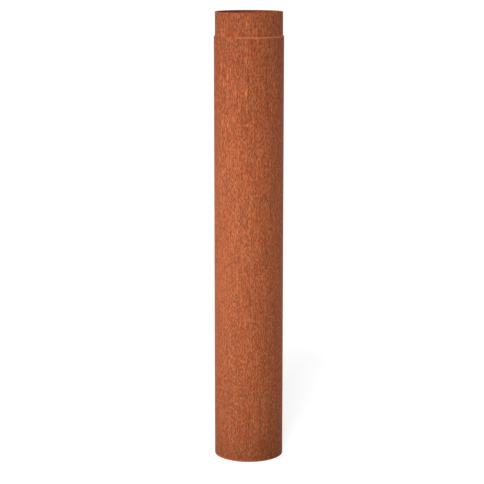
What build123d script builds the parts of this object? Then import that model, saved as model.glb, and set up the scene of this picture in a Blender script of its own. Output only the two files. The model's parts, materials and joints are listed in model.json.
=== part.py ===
from build123d import *

import os
from math import radians, tan

# Stove pipe of bare weathering steel, one metre long, for a flue of 150 mm.
#
# It is one length of 2 mm sheet, rolled into a tube and seam welded. The wide end is the socket.
# The other end is swaged, drawn in over a short shoulder to a spigot, which slides into the
# socket of the next pipe until the shoulder stops it.
#
# Units are millimetres. The pipe stands on its wide end: the origin is the centre of that end,
# and +Z runs up the flue, out of the spigot.

# Driving dimensions
overall_length = 1000.0  # from the wide end to the rim of the spigot
socket_bore = 150.0  # inside diameter of the wide end and of the whole body
wall = 2.0  # thickness of the sheet, the same all along the pipe
plug_clearance = 0.5  # gap all round between a spigot and the socket that it sits in
spigot_length = 51.0  # straight part of the narrow end, above the shoulder
shoulder_slope = 45.0  # lean of the shoulder from the pipe's axis, in degrees
inside_bend_radius = 0.5  # on the hollow side of both bends of the shoulder
edge_break = 0.3  # rounding of the deburred edges of both cut rims

# Sizes that follow from them
body_radius = socket_bore / 2 + wall
spigot_radius = socket_bore / 2 - plug_clearance

# On its outer face the sheet bends out round the lower corner and in round the upper one
lower_bend_radius = inside_bend_radius + wall
upper_bend_radius = inside_bend_radius

# The corners of the shoulder, where the straight faces would meet without the bends
shoulder_height = (body_radius - spigot_radius) / tan(radians(shoulder_slope))
upper_bend_run = upper_bend_radius * tan(radians(shoulder_slope / 2))
upper_corner = overall_length - spigot_length - upper_bend_run
lower_corner = upper_corner - shoulder_height

with BuildPart() as pipe:
    # The cut sheet on one side of the axis: its outer face, thickened inwards
    with BuildSketch(Plane.XZ):
        with BuildLine():
            FilletPolyline(
                (body_radius, 0),
                (body_radius, lower_corner),
                (spigot_radius, upper_corner),
                (spigot_radius, overall_length),
                radius=(lower_bend_radius, upper_bend_radius),
            )
            offset(amount=wall, side=Side.LEFT)
        make_face()
    revolve(axis=Axis.Z)

    # Both ends are cut square, then deburred inside and out
    cut_rims = pipe.faces().filter_by(Axis.Z)
    fillet(cut_rims.edges(), radius=edge_break)

pipe.part.label = "pipe"

os.makedirs("parts", exist_ok=True)
export_step(pipe.part, "parts/pipe.step")
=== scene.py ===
import json
from math import atan2, cos, hypot, pi, radians, sin, tan

import bmesh
import bpy
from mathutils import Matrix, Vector


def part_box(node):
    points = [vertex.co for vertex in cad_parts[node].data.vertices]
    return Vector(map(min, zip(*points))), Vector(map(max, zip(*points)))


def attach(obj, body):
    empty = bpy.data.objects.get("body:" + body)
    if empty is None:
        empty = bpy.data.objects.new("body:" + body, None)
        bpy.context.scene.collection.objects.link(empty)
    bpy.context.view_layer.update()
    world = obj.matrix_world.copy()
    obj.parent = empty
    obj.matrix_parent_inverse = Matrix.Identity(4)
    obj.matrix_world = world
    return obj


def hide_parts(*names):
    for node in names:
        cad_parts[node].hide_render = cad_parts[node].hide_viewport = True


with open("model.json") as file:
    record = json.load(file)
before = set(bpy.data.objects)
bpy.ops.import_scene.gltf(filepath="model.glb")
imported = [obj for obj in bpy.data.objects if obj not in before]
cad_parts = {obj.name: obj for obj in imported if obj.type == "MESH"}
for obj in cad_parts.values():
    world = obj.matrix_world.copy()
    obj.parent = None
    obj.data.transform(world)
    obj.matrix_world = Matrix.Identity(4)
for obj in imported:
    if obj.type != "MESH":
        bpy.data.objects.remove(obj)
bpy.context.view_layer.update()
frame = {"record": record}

# A stove pipe of bare weathering steel, standing on its wide end on a white floor.
#
# The pipe is rolled from 2 mm sheet and welded along its back, and its upper end is swaged down
# to a spigot. All sizes are metres, and angles round the pipe are counted from +X towards +Y.

# Sizes of the pipe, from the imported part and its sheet
mounts = {mount["name"]: mount for mount in frame["record"]["mounts"]}
FOOT_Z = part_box("pipe")[0].z
MOUTH_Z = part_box("pipe")[1].z
WALL = 0.002
BORE_R = mounts["socket"]["dims"]["r_mm"] / 1000
SPIGOT_R = mounts["spigot"]["dims"]["r_mm"] / 1000
BODY_R = BORE_R + WALL
SPIGOT_LENGTH = 0.051
SHOULDER_SLOPE = radians(45)
INSIDE_BEND_R = 0.0005
EDGE_BREAK = 0.0003

# The shoulder's two corners, where its straight faces would meet without their bends
LOWER_BEND_RUN = (INSIDE_BEND_R + WALL) * tan(SHOULDER_SLOPE / 2)
UPPER_BEND_RUN = INSIDE_BEND_R * tan(SHOULDER_SLOPE / 2)
UPPER_CORNER_Z = MOUTH_Z - SPIGOT_LENGTH - UPPER_BEND_RUN
LOWER_CORNER_Z = UPPER_CORNER_Z - (BODY_R - SPIGOT_R) / tan(SHOULDER_SLOPE)

# The sheet is drawn as narrow columns round the pipe, and the weld takes up the two at its back
COLUMNS = 192
COURSES = 12
WELD_ANGLE = pi / 2
WELD_HALF_ANGLE = 2 * pi / COLUMNS
UNDERCUT_WIDTH = 0.0004
UNDERCUT_DEPTH = 0.00015
ROOT_HALF_WIDTH = 0.0011
ROOT_CROWN_ANGLE = 0.6 * ROOT_HALF_WIDTH / BORE_R
ROOT_HEIGHT = 0.0002

# How many strips a bend, an undercut, the weld's root and a deburred edge are drawn with
BEND_STRIPS = 4
UNDERCUT_STRIPS = 2
ROOT_STRIPS = 4
EDGE_STRIPS = 3
SMOOTH_ANGLE = radians(30)

# For telling parts of the mesh apart: half of the smallest distance between two of its loops,
# an angle round the pipe much smaller than a column, and how far up a rim's face looks
NEAR = 0.00002
NEAR_ANGLE = 0.001
LOOKS_UP = 0.9


# Handling the mesh

def clear_selection():
    for chosen in list(bpy.context.selected_objects):
        chosen.select_set(False)


def pick_edges(piece, wanted):
    """In edit mode, selects only the edges that pass the test."""
    sheet = bmesh.from_edit_mesh(piece.data)
    bpy.ops.mesh.select_mode(type="EDGE")
    bpy.ops.mesh.select_all(action="DESELECT")
    for edge in sheet.edges:
        if wanted(edge):
            edge.select_set(True)
    bmesh.update_edit_mesh(piece.data)


def pick_points(piece, wanted):
    """In edit mode, selects only the vertices whose places pass the test."""
    sheet = bmesh.from_edit_mesh(piece.data)
    bpy.ops.mesh.select_mode(type="VERT")
    bpy.ops.mesh.select_all(action="DESELECT")
    for point in sheet.verts:
        if wanted(point.co):
            point.select_set(True)
    bmesh.update_edit_mesh(piece.data)


def both_ends(wanted):
    """A test for edges that asks both of their ends to pass a test for places."""
    return lambda edge: all(wanted(end.co) for end in edge.verts)


def bevel_edges(width, strips):
    bpy.ops.mesh.bevel(offset=width, offset_type="OFFSET", segments=strips, affect="EDGES")


def off_weld(point):
    """The angle between a point and the middle of the weld."""
    return abs(atan2(point.y, point.x) - WELD_ANGLE)


def outer_r(z):
    """The radius of the outer face at a height, before its bends are rounded."""
    if z <= LOWER_CORNER_Z:
        return BODY_R
    if z >= UPPER_CORNER_Z:
        return SPIGOT_R
    return BODY_R - (z - LOWER_CORNER_Z) * tan(SHOULDER_SLOPE)


def on_outside(point):
    return hypot(point.x, point.y) > outer_r(point.z) - WALL / 2


# The pipe

def raise_sheet(rise):
    """Draws the selected edge of the sheet further up the pipe."""
    bpy.ops.mesh.extrude_region_move(TRANSFORM_OT_translate={"value": (0, 0, rise)})


def roll_sheet():
    """The sheet's outer face, rolled up from the foot to the mouth."""
    bpy.ops.mesh.primitive_circle_add(
        vertices=COLUMNS, radius=BODY_R, fill_type="NOTHING", location=(0, 0, FOOT_Z)
    )
    sheet = bpy.context.object
    sheet.name = "rolled_pipe"
    sheet.data.name = "rolled_pipe"
    bpy.ops.object.mode_set(mode="EDIT")
    bpy.ops.mesh.select_all(action="SELECT")
    for _ in range(COURSES):
        raise_sheet((LOWER_CORNER_Z - FOOT_Z) / COURSES)
    raise_sheet(UPPER_CORNER_Z - LOWER_CORNER_Z)
    drawn_in = SPIGOT_R / BODY_R
    bpy.ops.transform.resize(
        value=(drawn_in, drawn_in, 1), center_override=(0, 0, UPPER_CORNER_Z)
    )
    raise_sheet(MOUTH_Z - UPPER_CORNER_Z)
    bpy.ops.object.mode_set(mode="OBJECT")
    return sheet


def round_bends(sheet):
    """Both corners of the shoulder, rounded as a swage rounds them."""
    bpy.ops.object.mode_set(mode="EDIT")
    for corner_z, run in ((LOWER_CORNER_Z, LOWER_BEND_RUN), (UPPER_CORNER_Z, UPPER_BEND_RUN)):
        pick_edges(sheet, both_ends(lambda point: abs(point.z - corner_z) < NEAR))
        bevel_edges(run, BEND_STRIPS)
    bpy.ops.mesh.select_all(action="SELECT")
    bpy.ops.mesh.normals_make_consistent(inside=False)
    bpy.ops.object.mode_set(mode="OBJECT")


def give_wall(sheet):
    """Thickens the outer face inwards to the sheet's gauge."""
    wall = sheet.modifiers.new("wall", "SOLIDIFY")
    wall.thickness = WALL
    wall.offset = -1
    wall.use_even_offset = True
    wall.use_rim = True
    bpy.ops.object.modifier_apply(modifier=wall.name)


def weld_seam(pipe):
    """The ground weld down the back: a land between two fine undercuts, and its root inside."""
    def at_undercut(point):
        return on_outside(point) and abs(off_weld(point) - WELD_HALF_ANGLE) < NEAR_ANGLE

    bpy.ops.object.mode_set(mode="EDIT")
    pick_edges(pipe, both_ends(at_undercut))
    bevel_edges(UNDERCUT_WIDTH, UNDERCUT_STRIPS)
    pick_points(pipe, at_undercut)
    bpy.ops.transform.translate(value=(0, -UNDERCUT_DEPTH, 0))
    pick_edges(
        pipe, both_ends(lambda point: not on_outside(point) and off_weld(point) < NEAR_ANGLE)
    )
    bevel_edges(ROOT_HALF_WIDTH, ROOT_STRIPS)
    for reach in (ROOT_CROWN_ANGLE, NEAR_ANGLE):
        pick_points(pipe, lambda point: not on_outside(point) and off_weld(point) < reach)
        bpy.ops.transform.translate(value=(0, -ROOT_HEIGHT / 2, 0))
    bpy.ops.object.mode_set(mode="OBJECT")


def break_rims(pipe):
    """Deburrs both cut ends, inside and out."""
    def at_cut(edge):
        level = [abs(face.normal.z) > LOOKS_UP for face in edge.link_faces]
        return sorted(level) == [False, True]

    bpy.ops.object.mode_set(mode="EDIT")
    pick_edges(pipe, at_cut)
    bevel_edges(EDGE_BREAK, EDGE_STRIPS)
    bpy.ops.object.mode_set(mode="OBJECT")


# Shader nodes

# How the nodes of a tree are laid out, and which sockets of a Mix node carry colours
NODES_IN_ROW = 12
NODE_WIDTH = 180
NODE_HEIGHT = 260
MIX_FACTOR = 0
MIX_FIRST = 6
MIX_SECOND = 7
MIX_RESULT = 2

WHITE = (1, 1, 1, 1)
BLACK = (0, 0, 0, 1)


def node(tree, kind, inputs=None, **settings):
    """A node in a tree. An input is given a plain value, or another node's output to link."""
    made = tree.nodes.new(kind)
    row, column = divmod(len(tree.nodes), NODES_IN_ROW)
    made.location = (NODE_WIDTH * column, -NODE_HEIGHT * row)
    for name, value in settings.items():
        setattr(made, name, value)
    for name, value in (inputs or {}).items():
        if isinstance(value, bpy.types.NodeSocket):
            tree.links.new(value, made.inputs[name])
        else:
            made.inputs[name].default_value = value
    return made


def maths(tree, operation, *values):
    return node(tree, "ShaderNodeMath", dict(enumerate(values)), operation=operation).outputs[0]


def vector_maths(tree, operation, *vectors):
    made = node(tree, "ShaderNodeVectorMath", dict(enumerate(vectors)), operation=operation)
    return made.outputs["Value" if operation == "LENGTH" else "Vector"]


def ramp(tree, value, start, end, low=0.0, high=1.0, shape="LINEAR"):
    """Turns a value between start and end into one between low and high, and holds it there."""
    reach = {"Value": value, "From Min": start, "From Max": end, "To Min": low, "To Max": high}
    return node(tree, "ShaderNodeMapRange", reach, interpolation_type=shape).outputs[0]


def soft_ramp(tree, value, start, end, low=0.0, high=1.0):
    return ramp(tree, value, start, end, low, high, "SMOOTHSTEP")


def blend(tree, factor, first, second, way="MIX"):
    """Two colours mixed, or the second laid over the first in another way."""
    colours = {MIX_FACTOR: factor, MIX_FIRST: first, MIX_SECOND: second}
    mixed = node(tree, "ShaderNodeMix", colours, data_type="RGBA", blend_type=way)
    return mixed.outputs[MIX_RESULT]


def group(name, inputs, outputs):
    """An empty node group with named sockets."""
    tree = bpy.data.node_groups.new(name, "ShaderNodeTree")
    for label, kind, value in inputs:
        socket = tree.interface.new_socket(label, in_out="INPUT", socket_type=kind)
        socket.default_value = value
    for label, kind in outputs:
        tree.interface.new_socket(label, in_out="OUTPUT", socket_type=kind)
    return tree, tree.nodes.new("NodeGroupInput"), tree.nodes.new("NodeGroupOutput")


def put_out(tree, result, values):
    """Links the finished values of a group to its named outputs."""
    for label, value in values.items():
        tree.links.new(value, result.inputs[label])


# The grain of the rust

# Sizes of the broader grain: width across the sheet and length up it
PATCH_SIZE = (0.050, 0.110)
COARSE_SIZE = (0.0034, 0.0120)
SPOT_SIZE = (0.0034, 0.0190)
TINT_SIZE = (0.0030, 0.0200)

# Detail and roughness of a noise
CRISP = (1.0, 0.6)
SOFT = (1.0, 0.5)
CLOUDY = (2.0, 0.5)
RAGGED = (2.0, 0.6)

# Where each noise starts, so that no two of them follow each other
FLAKES_START = (0, 0, 0)
STREAKS_START = (31.7, 4.9, 12.3)
PATCHES_START = (5.3, 8.1, 2.7)
COARSE_START = (71.9, 13.1, 7.3)
GREYS_START = (11.9, 23.3, 41.1)
GREY_STREAKS_START = (83.3, 61.7, 33.9)
COARSE_GREYS_START = (17.9, 43.3, 91.7)
SPOTS_START = (57.1, 3.7, 19.9)
TINTS_START = (7.7, 29.1, 63.3)
RIM_RAGGED_START = (3.1, 9.7, 27.3)

# The rust is coarser towards the mouth and the foot: the heights where that starts and is full
HIGH_START = 0.55
HIGH_FULL = 0.85
LOW_START = 0.20
LOW_FULL = 0.08

# How much of the coarse greys shows near the foot, and the noise that gives a full tint
GREYS_LOW_DOWN = 0.4
TINT_FULL = 0.16

# Vivid spots: how they follow the patches, how many more there are high up, and how soft they are
SPOTS_IN_PATCHES = 0.4
SPOTS_HIGH_UP = 0.05
SPOT_EDGE = 0.08

# Where the rust is fresher: across and up the front of the pipe, half width, half height, and gain
FRESH_PLACES = (
    (-0.056, 0.850, 0.024, 0.150, 0.12),
    (-0.008, 0.828, 0.009, 0.030, 0.27),
    (-0.010, 0.968, 0.022, 0.045, 0.20),
    (-0.056, 0.968, 0.018, 0.040, 0.18),
)


def grain_noise(tree, place, size, start, texture):
    """Noise about zero, drawn out along the pipe."""
    width, length = size
    detail, roughness = texture
    cell = node(tree, "ShaderNodeCombineXYZ", {"X": width, "Y": width, "Z": length}).outputs[0]
    cells = vector_maths(tree, "DIVIDE", place, cell)
    moved = vector_maths(tree, "ADD", cells, start)
    noise = node(
        tree,
        "ShaderNodeTexNoise",
        {"Vector": moved, "Scale": 1.0, "Detail": detail, "Roughness": roughness},
    )
    return maths(tree, "SUBTRACT", noise.outputs["Fac"], 0.5)


def make_rust_grain():
    """How rust lies on rolled steel: flakes drawn out up the pipe, long streaks, and patches."""
    tree, given, result = group(
        "rust grain",
        [
            ("Place", "NodeSocketVector", (0, 0, 0)),
            ("Flake Width", "NodeSocketFloat", 0.0019),
            ("Flake Length", "NodeSocketFloat", 0.0062),
            ("Flake Contrast", "NodeSocketFloat", 3.06),
            ("Coarse Contrast", "NodeSocketFloat", 0.88),
            ("Streak Width", "NodeSocketFloat", 0.0016),
            ("Streak Length", "NodeSocketFloat", 0.0950),
            ("Streak Contrast", "NodeSocketFloat", 1.22),
            ("Patch Contrast", "NodeSocketFloat", 0.12),
            ("Grey Contrast", "NodeSocketFloat", 3.00),
            ("Grey Streaks", "NodeSocketFloat", 1.50),
            ("Coarse Greys", "NodeSocketFloat", 1.32),
            ("Spot Limit", "NodeSocketFloat", 0.25),
            ("Red Streaks", "NodeSocketFloat", 0.6),
            ("Olive Streaks", "NodeSocketFloat", 1.0),
        ],
        [
            ("Dark to Light", "NodeSocketFloat"),
            ("Orange to Grey", "NodeSocketFloat"),
            ("Red Streaks", "NodeSocketFloat"),
            ("Olive Streaks", "NodeSocketFloat"),
            ("Vivid Spots", "NodeSocketFloat"),
            ("Height", "NodeSocketFloat"),
        ],
    )
    value = given.outputs
    place = value["Place"]
    flake_size = (value["Flake Width"], value["Flake Length"])
    streak_size = (value["Streak Width"], value["Streak Length"])
    flakes = grain_noise(tree, place, flake_size, FLAKES_START, CRISP)
    streaks = grain_noise(tree, place, streak_size, STREAKS_START, CRISP)
    patches = grain_noise(tree, place, PATCH_SIZE, PATCHES_START, CLOUDY)
    coarse = grain_noise(tree, place, COARSE_SIZE, COARSE_START, SOFT)
    greys = grain_noise(tree, place, flake_size, GREYS_START, CRISP)
    grey_streaks = grain_noise(tree, place, streak_size, GREY_STREAKS_START, CRISP)
    coarse_greys = grain_noise(tree, place, COARSE_SIZE, COARSE_GREYS_START, SOFT)
    spots = grain_noise(tree, place, SPOT_SIZE, SPOTS_START, SOFT)
    tints = grain_noise(tree, place, TINT_SIZE, TINTS_START, SOFT)

    height = node(tree, "ShaderNodeSeparateXYZ", {0: place}).outputs["Z"]
    high_up = soft_ramp(tree, height, HIGH_START, HIGH_FULL)
    low_down = soft_ramp(tree, height, LOW_START, LOW_FULL)
    near_ends = maths(tree, "MAXIMUM", high_up, low_down)

    flaked = maths(tree, "MULTIPLY_ADD", flakes, value["Flake Contrast"], 0.5)
    streaked = maths(tree, "MULTIPLY_ADD", streaks, value["Streak Contrast"], flaked)
    patched = maths(tree, "MULTIPLY_ADD", patches, value["Patch Contrast"], streaked)
    coarsened = maths(tree, "MULTIPLY", coarse, value["Coarse Contrast"])
    light = maths(tree, "MULTIPLY_ADD", coarsened, high_up, patched)

    grey_flaked = maths(tree, "MULTIPLY_ADD", greys, value["Grey Contrast"], 0.5)
    grey_streaked = maths(tree, "MULTIPLY_ADD", grey_streaks, value["Grey Streaks"], grey_flaked)
    coarse_greyed = maths(tree, "MULTIPLY", coarse_greys, value["Coarse Greys"])
    greyer = maths(tree, "MAXIMUM", high_up, maths(tree, "MULTIPLY", low_down, GREYS_LOW_DOWN))
    grey = maths(tree, "MULTIPLY_ADD", coarse_greyed, greyer, grey_streaked)

    red_amount = maths(tree, "MULTIPLY", near_ends, value["Red Streaks"])
    red = maths(tree, "MULTIPLY", ramp(tree, tints, 0.0, TINT_FULL), red_amount)
    olive_amount = maths(tree, "MULTIPLY", low_down, value["Olive Streaks"])
    olive = maths(tree, "MULTIPLY", ramp(tree, tints, 0.0, -TINT_FULL), olive_amount)

    spotted = maths(tree, "MULTIPLY_ADD", patches, SPOTS_IN_PATCHES, spots)
    for across, up, half_width, half_height, gain in FRESH_PLACES:
        apart = vector_maths(tree, "SUBTRACT", place, (across, -BODY_R, up))
        spread = vector_maths(tree, "DIVIDE", apart, (half_width, BODY_R, half_height))
        nearness = soft_ramp(tree, vector_maths(tree, "LENGTH", spread), 1.0, 0.0)
        spotted = maths(tree, "MULTIPLY_ADD", nearness, gain, spotted)
    spotted = maths(tree, "MULTIPLY_ADD", high_up, SPOTS_HIGH_UP, spotted)
    spot_full = maths(tree, "ADD", value["Spot Limit"], SPOT_EDGE)
    vivid = ramp(tree, spotted, value["Spot Limit"], spot_full)
    put_out(tree, result, {
        "Dark to Light": light,
        "Orange to Grey": grey,
        "Red Streaks": red,
        "Olive Streaks": olive,
        "Vivid Spots": vivid,
        "Height": flakes,
    })
    return tree


# Wear of the rust

# Fresh orange rust shows in a narrow band at each cut rim: its height, and how much at each end.
# At the foot the band is also a painted highlight, for light from the floor on the lower edge.
RIM_WEAR_AND_HIGHLIGHT_REACH = 0.0050
RIM_WEAR_AND_HIGHLIGHT_FOOT = 0.55
RIM_WEAR_MOUTH = 0.05

# A painted highlight lightens the shoulder along its lower bend, for light from above on its
# upward face, on the part of the pipe beyond a point in X
SHOULDER_HIGHLIGHT_Z = LOWER_CORNER_Z + 0.0006
SHOULDER_HIGHLIGHT_REACH = 0.0022
SHOULDER_HIGHLIGHT_FROM = -0.034
SHOULDER_HIGHLIGHT_FULL = -0.024
SHOULDER_HIGHLIGHT = 0.38

# The inner part of a band, of wear or of painted highlight, is at full strength, and the edge of a
# rim's band is ragged
BAND_CORE = 0.4
RIM_RAGGED_SIZE = (0.0060, 0.0060)


def make_wear_and_highlights():
    """Narrow bands at the cut rims where the old skin is rubbed, the one at the foot also a
    painted highlight, and a painted highlight along the shoulder.
    """
    tree, given, result = group(
        "rim wear and highlights",
        [
            ("Place", "NodeSocketVector", (0, 0, 0)),
            ("Reach", "NodeSocketFloat", RIM_WEAR_AND_HIGHLIGHT_REACH),
            ("At Foot", "NodeSocketFloat", RIM_WEAR_AND_HIGHLIGHT_FOOT),
            ("At Mouth", "NodeSocketFloat", RIM_WEAR_MOUTH),
            ("Shoulder Reach", "NodeSocketFloat", SHOULDER_HIGHLIGHT_REACH),
            ("At Shoulder", "NodeSocketFloat", SHOULDER_HIGHLIGHT),
        ],
        [("Rim Wear and Highlight", "NodeSocketFloat"), ("Shoulder Highlight", "NodeSocketFloat")],
    )
    value = given.outputs
    ragged = grain_noise(tree, value["Place"], RIM_RAGGED_SIZE, RIM_RAGGED_START, RAGGED)
    reach = maths(tree, "MULTIPLY", value["Reach"], maths(tree, "ADD", ragged, 1.0))
    along = node(tree, "ShaderNodeSeparateXYZ", {0: value["Place"]}).outputs

    def band(gap, half_height, amount):
        wear_and_highlight = soft_ramp(tree, maths(tree, "DIVIDE", gap, half_height), 1.0, BAND_CORE)
        return maths(tree, "MULTIPLY", wear_and_highlight, amount)

    # The band at the foot is worn rust and a painted highlight; the band at the mouth is worn rust
    foot_gap = maths(tree, "SUBTRACT", along["Z"], FOOT_Z)
    mouth_gap = maths(tree, "SUBTRACT", MOUTH_Z, along["Z"])
    at_foot = band(foot_gap, reach, value["At Foot"])
    at_mouth = band(mouth_gap, reach, value["At Mouth"])
    # The painted highlight along the shoulder's lower bend, only on the pipe beyond a point in X
    shoulder_gap = maths(tree, "ABSOLUTE", maths(tree, "SUBTRACT", along["Z"], SHOULDER_HIGHLIGHT_Z))
    at_shoulder = band(shoulder_gap, value["Shoulder Reach"], value["At Shoulder"])
    highlighted_side = soft_ramp(tree, along["X"], SHOULDER_HIGHLIGHT_FROM, SHOULDER_HIGHLIGHT_FULL)
    put_out(tree, result, {
        "Rim Wear and Highlight": maths(tree, "MAXIMUM", at_foot, at_mouth),
        "Shoulder Highlight": maths(tree, "MULTIPLY", at_shoulder, highlighted_side),
    })
    return tree


# Colours and materials of the rust

# Where the rust colour is darkened: along an axis, from one place to another, and how much.
# Outside it grows darker towards the mouth; inside, the darkening on the -X side is painted shade.
DARKER_TOWARDS_MOUTH = ("Z", 0.6, MOUTH_Z, 0.21)
INSIDE_SHADE = ("X", 0.07, -0.06, 0.52)

# A sawn rim has no rolling streaks, and the ground weld is finer and a little lighter
RIM_GRAIN = {"Flake Length": 0.0019, "Streak Contrast": 0.0, "Grey Streaks": 0.0}
WELD_GRAIN = {
    "Flake Width": 0.0012,
    "Flake Length": 0.0030,
    "Streak Contrast": 0.4,
    "Grey Streaks": 0.4,
    "Patch Contrast": 0.0,
}
WELD_COLOURS = {"Spread": 1.6}

# Inside, the rust is painted a deeper orange for light that has gone from wall to wall: painted
# bounce light and shade
INSIDE_COLOURS = {
    "Spread": 1.1,
    "Bright Orange": (0.640, 0.140, 0.034, 1),
    "Pale Tan": (0.480, 0.136, 0.078, 1),
    "Deep Red": (0.450, 0.060, 0.023, 1),
    "Dark Brown": (0.190, 0.044, 0.020, 1),
}

# Light flakes are smoother than dark ones by twice the swing, and the flakes stand a little proud
ROUGHNESS_SWING = 0.06
FLAKE_RELIEF = 0.4
FLAKE_HEIGHT = 0.0006


def make_rust_colours():
    """Four rust colours laid out by two scales, with tints, fresh spots, worn bands and painted
    highlights on top.
    """
    tree, given, result = group(
        "rust colours",
        [
            ("Dark to Light", "NodeSocketFloat", 0.5),
            ("Orange to Grey", "NodeSocketFloat", 0.5),
            ("Red Streaks", "NodeSocketFloat", 0.0),
            ("Olive Streaks", "NodeSocketFloat", 0.0),
            ("Vivid Spots", "NodeSocketFloat", 0.0),
            ("Rim Wear and Highlight", "NodeSocketFloat", 0.0),
            ("Shoulder Highlight", "NodeSocketFloat", 0.0),
            ("Spread", "NodeSocketFloat", 2.10),
            ("Darkening", "NodeSocketFloat", 0.0),
            ("Bright Orange", "NodeSocketColor", (0.613, 0.173, 0.035, 1)),
            ("Pale Tan", "NodeSocketColor", (0.465, 0.170, 0.080, 1)),
            ("Deep Red", "NodeSocketColor", (0.453, 0.076, 0.024, 1)),
            ("Dark Brown", "NodeSocketColor", (0.193, 0.056, 0.021, 1)),
            ("Fresh and Highlight Orange", "NodeSocketColor", (0.800, 0.180, 0.056, 1)),
            ("Shoulder Highlight Colour", "NodeSocketColor", (0.800, 0.270, 0.110, 1)),
            ("Red Tint", "NodeSocketColor", (1.040, 0.780, 0.940, 1)),
            ("Olive Tint", "NodeSocketColor", (0.930, 1.140, 1.120, 1)),
        ],
        [("Color", "NodeSocketColor")],
    )
    value = given.outputs
    grey = value["Orange to Grey"]
    dark = blend(tree, grey, value["Deep Red"], value["Dark Brown"])
    light = blend(tree, grey, value["Bright Orange"], value["Pale Tan"])
    level = maths(tree, "MINIMUM", maths(tree, "MAXIMUM", value["Dark to Light"], 0.0), 1.0)
    plain = blend(tree, maths(tree, "POWER", level, value["Spread"]), dark, light)
    red = blend(tree, value["Red Streaks"], plain, value["Red Tint"], "MULTIPLY")
    olive = blend(tree, value["Olive Streaks"], red, value["Olive Tint"], "MULTIPLY")
    # Fresh spots, and the rim bands of wear and painted highlight
    vivid = maths(tree, "MAXIMUM", value["Vivid Spots"], value["Rim Wear and Highlight"])
    fresh_and_highlight = blend(tree, vivid, olive, value["Fresh and Highlight Orange"])
    # The painted highlight on the shoulder
    highlighted = blend(tree, value["Shoulder Highlight"], fresh_and_highlight, value["Shoulder Highlight Colour"])
    put_out(tree, result, {"Color": blend(tree, value["Darkening"], highlighted, BLACK)})
    return tree


def rust_material(name, groups, roughness, darkening, grain_values=None, colour_values=None):
    """Rusted steel, dull all over, with the grain and colours set for one part of the pipe."""
    material = bpy.data.materials.new(name)
    material.use_nodes = True
    tree = material.node_tree
    tree.nodes.clear()
    grain, wear_and_highlight_tree, colours = groups
    place = node(tree, "ShaderNodeTexCoord").outputs["Object"]
    grained = node(tree, "ShaderNodeGroup", {}, node_tree=grain)
    wear_and_highlight = node(tree, "ShaderNodeGroup", {}, node_tree=wear_and_highlight_tree)
    coloured = node(tree, "ShaderNodeGroup", {}, node_tree=colours)
    for effect, own_values in ((grained, grain_values), (coloured, colour_values)):
        for label, own_value in (own_values or {}).items():
            effect.inputs[label].default_value = own_value
    for effect in (grained, wear_and_highlight):
        tree.links.new(place, effect.inputs["Place"])
        for put in effect.outputs:
            if put.name in coloured.inputs:
                tree.links.new(put, coloured.inputs[put.name])
    # Darker towards the mouth outside, and painted shade on the -X side inside
    axis, start, end, amount = darkening
    along = node(tree, "ShaderNodeSeparateXYZ", {0: place}).outputs[axis]
    darkened = soft_ramp(tree, along, start, end, 0.0, amount)
    tree.links.new(darkened, coloured.inputs["Darkening"])
    roughened = ramp(
        tree,
        grained.outputs["Dark to Light"],
        0.0,
        1.0,
        roughness + ROUGHNESS_SWING,
        roughness - ROUGHNESS_SWING,
    )
    relief = {
        "Height": grained.outputs["Height"],
        "Strength": FLAKE_RELIEF,
        "Distance": FLAKE_HEIGHT,
    }
    bump = node(tree, "ShaderNodeBump", relief)
    skin = node(
        tree,
        "ShaderNodeBsdfPrincipled",
        {
            "Base Color": coloured.outputs["Color"],
            "Roughness": roughened,
            "Normal": bump.outputs["Normal"],
        },
    )
    node(tree, "ShaderNodeOutputMaterial", {"Surface": skin.outputs["BSDF"]})
    return material


def finish_pipe(pipe):
    """Gives the outside, the inside, the cut rims and the weld their own rust."""
    groups = (make_rust_grain(), make_wear_and_highlights(), make_rust_colours())
    finishes = [
        rust_material(
            "rust outside", groups, roughness=0.86, darkening=DARKER_TOWARDS_MOUTH,
        ),
        # The inside's rust carries painted shade and painted bounce light
        rust_material(
            "rust inside", groups, roughness=0.88, darkening=INSIDE_SHADE,
            colour_values=INSIDE_COLOURS,
        ),
        rust_material(
            "rust on the cut rims", groups, roughness=0.84, darkening=DARKER_TOWARDS_MOUTH,
            grain_values=RIM_GRAIN,
        ),
        rust_material(
            "rust on the weld", groups, roughness=0.80, darkening=DARKER_TOWARDS_MOUTH,
            grain_values=WELD_GRAIN, colour_values=WELD_COLOURS,
        ),
    ]
    for finish in finishes:
        pipe.data.materials.append(finish)
    outside, inside, rims, weld = range(4)
    for face in pipe.data.polygons:
        middle = face.center
        if min(middle.z - FOOT_Z, MOUTH_Z - middle.z) < EDGE_BREAK - NEAR:
            face.material_index = rims
        elif not on_outside(middle):
            face.material_index = inside
        elif off_weld(middle) < WELD_HALF_ANGLE:
            face.material_index = weld
        else:
            face.material_index = outside


def make_pipe():
    clear_selection()
    pipe = roll_sheet()
    round_bends(pipe)
    give_wall(pipe)
    weld_seam(pipe)
    break_rims(pipe)
    finish_pipe(pipe)
    bpy.ops.object.shade_smooth_by_angle(angle=SMOOTH_ANGLE)
    return pipe


# Floor and surroundings

# The floor as the camera sees it: near white round the pipe and white further off, and how much
# of a lamp's light it takes
FLOOR_SIZE = 90.0
FLOOR_GLOW_NEAR = 0.868
FLOOR_GLOW_FAR = 1.0
FLOOR_GLOW_START = 1.0
FLOOR_GLOW_REACH = 3.0
# A painted shade round the pipe: the floor's glow is lower by this much up to the first distance,
# and back to full at the second
FLOOR_DIP = -0.022
FLOOR_DIP_START = 0.15
FLOOR_DIP_REACH = 0.75
FLOOR_SHADE = 0.30

# What the floor sends back to the pipe: nothing from its own shade, whose middle is off to +X
SHADE_MIDDLE = (0.030, 0, 0)
BOUNCE_START = 0.09
BOUNCE_REACH = 0.36
BOUNCE_FULL = 0.405

# Light that reaches the pipe evenly from all round
EVEN_LIGHT = 0.184


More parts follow.
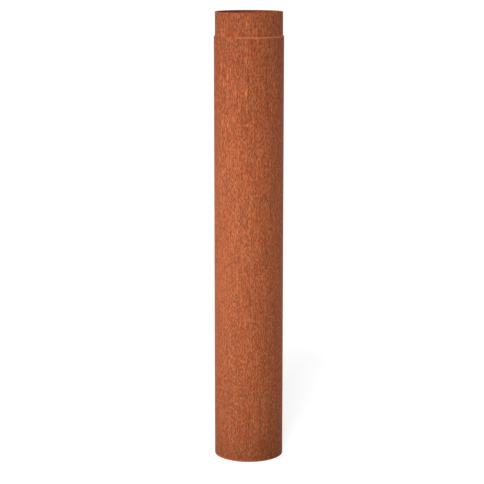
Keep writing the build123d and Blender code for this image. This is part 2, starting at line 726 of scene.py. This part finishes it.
def seen_directly(tree):
    """1 for rays that see the studio itself or its reflection, and 0 for rays that carry light."""
    path = node(tree, "ShaderNodeLightPath").outputs
    seen = maths(tree, "MAXIMUM", path["Is Camera Ray"], path["Is Glossy Ray"])
    return maths(tree, "MAXIMUM", seen, path["Is Transmission Ray"])


def make_floor():
    clear_selection()
    bpy.ops.mesh.primitive_plane_add(size=FLOOR_SIZE, location=(0, 0, FOOT_Z))
    floor = bpy.context.object
    floor.name = "floor"
    material = bpy.data.materials.new("white floor")
    material.use_nodes = True
    tree = material.node_tree
    tree.nodes.clear()
    place = node(tree, "ShaderNodeTexCoord").outputs["Object"]
    away = vector_maths(tree, "LENGTH", place)
    glow_reach = (FLOOR_GLOW_START, FLOOR_GLOW_REACH)
    glow = ramp(tree, away, *glow_reach, FLOOR_GLOW_NEAR, FLOOR_GLOW_FAR)
    # The painted shade round the pipe
    dip = soft_ramp(tree, away, FLOOR_DIP_START, FLOOR_DIP_REACH, FLOOR_DIP, 0.0)
    level = maths(tree, "ADD", glow, dip)
    white = node(tree, "ShaderNodeEmission", {"Color": WHITE, "Strength": level})
    shade = node(tree, "ShaderNodeBsdfDiffuse", {"Color": (FLOOR_SHADE,) * 3 + (1,)})
    shown = node(tree, "ShaderNodeAddShader", {0: white.outputs[0], 1: shade.outputs[0]})
    off_shade = vector_maths(tree, "SUBTRACT", place, SHADE_MIDDLE)
    clear_of_shade = vector_maths(tree, "LENGTH", off_shade)
    bounce = ramp(tree, clear_of_shade, BOUNCE_START, BOUNCE_REACH, 0.0, BOUNCE_FULL)
    pale = node(tree, "ShaderNodeEmission", {"Color": WHITE, "Strength": bounce})
    surface = node(
        tree,
        "ShaderNodeMixShader",
        {0: seen_directly(tree), 1: pale.outputs[0], 2: shown.outputs[0]},
    )
    node(tree, "ShaderNodeOutputMaterial", {"Surface": surface.outputs[0]})
    floor.data.materials.append(material)
    return floor


def make_surroundings():
    """White where the camera looks past the floor, and a low even light for the pipe."""
    world = bpy.data.worlds.new("white studio")
    bpy.context.scene.world = world
    world.use_nodes = True
    tree = world.node_tree
    tree.nodes.clear()
    white = node(tree, "ShaderNodeBackground", {"Color": WHITE, "Strength": 1.0})
    even = node(tree, "ShaderNodeBackground", {"Color": WHITE, "Strength": EVEN_LIGHT})
    mixed = node(
        tree,
        "ShaderNodeMixShader",
        {0: seen_directly(tree), 1: even.outputs[0], 2: white.outputs[0]},
    )
    node(tree, "ShaderNodeOutputWorld", {"Surface": mixed.outputs[0]})


# Lamps and camera

# The view of the photo: degrees that the camera looks down and turns to the left
CAMERA_PLACE = (0, -3.5275, 1.1530)
CAMERA_DOWN = 10.666
CAMERA_LEFT = 0.2476
SENSOR_WIDTH = 36
LENS = 119.327
CAMERA_FAR = 200


def make_lamp(name, passes, azimuth, distance, z, aim_z, width, height, radiance):
    """A soft lamp aimed at the pipe's axis. Azimuth 0 is the camera's side, and 90 is +X.

    It passes one thing without lighting it: the floor or the pipe.
    """
    clear_selection()
    turn = radians(azimuth)
    place = Vector((distance * sin(turn), -distance * cos(turn), z))
    back = place - Vector((0, 0, aim_z))
    bpy.ops.object.light_add(
        type="AREA", location=place, rotation=back.to_track_quat("Z", "Y").to_euler()
    )
    lamp = bpy.context.object
    lamp.name = name
    lamp.data.shape = "RECTANGLE"
    lamp.data.size = width
    lamp.data.size_y = height
    lamp.data.energy = radiance * pi * width * height
    lamp.visible_camera = False
    lamp.visible_glossy = False
    passed = bpy.data.collections.new(name + " passes")
    lamp.light_linking.receiver_collection = passed
    passed.objects.link(passes)
    for link in passed.collection_objects:
        link.light_linking.link_state = "EXCLUDE"


def light_pipe(floor, pipe):
    """Only the shadow lamp lights the floor, so that it alone draws the pipe's shadow there."""
    make_lamp(
        "shadow lamp", pipe, azimuth=-9.4, distance=4.32,
        z=5.26, aim_z=0.4, width=1.22, height=1.92, radiance=51.0,
    )
    make_lamp(
        "key lamp front", floor, azimuth=-13.0, distance=1.50,
        z=2.01, aim_z=0.4, width=0.45, height=0.45, radiance=19.4,
    )
    make_lamp(
        "low lamp front", floor, azimuth=-5.0, distance=1.60,
        z=0.25, aim_z=0.2, width=0.50, height=0.50, radiance=5.1,
    )
    make_lamp(
        "broad lamp left", floor, azimuth=-51.6, distance=1.135,
        z=0.43, aim_z=0.5, width=0.90, height=0.683, radiance=3.82,
    )
    make_lamp(
        "fill lamp right", floor, azimuth=77.2, distance=1.236,
        z=0.448, aim_z=0.5, width=0.689, height=1.0, radiance=0.80,
    )
    make_lamp(
        "top lamp", floor, azimuth=-31.0, distance=0.87,
        z=3.40, aim_z=0.9, width=1.048, height=1.048, radiance=9.4,
    )
    make_lamp(
        "fill lamp back", floor, azimuth=180.0, distance=1.50,
        z=0.80, aim_z=0.5, width=0.9, height=1.2, radiance=2.4,
    )


def place_camera():
    clear_selection()
    bpy.ops.object.camera_add(
        location=CAMERA_PLACE, rotation=(radians(90 - CAMERA_DOWN), 0, radians(CAMERA_LEFT))
    )
    camera = bpy.context.object
    camera.name = "camera"
    camera.data.sensor_width = SENSOR_WIDTH
    camera.data.lens = LENS
    camera.data.clip_end = CAMERA_FAR
    bpy.context.scene.camera = camera


place_camera()
pipe = make_pipe()
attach(pipe, "root")
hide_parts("pipe")
light_pipe(make_floor(), pipe)
make_surroundings()
bpy.context.scene.view_settings.view_transform = "Standard"
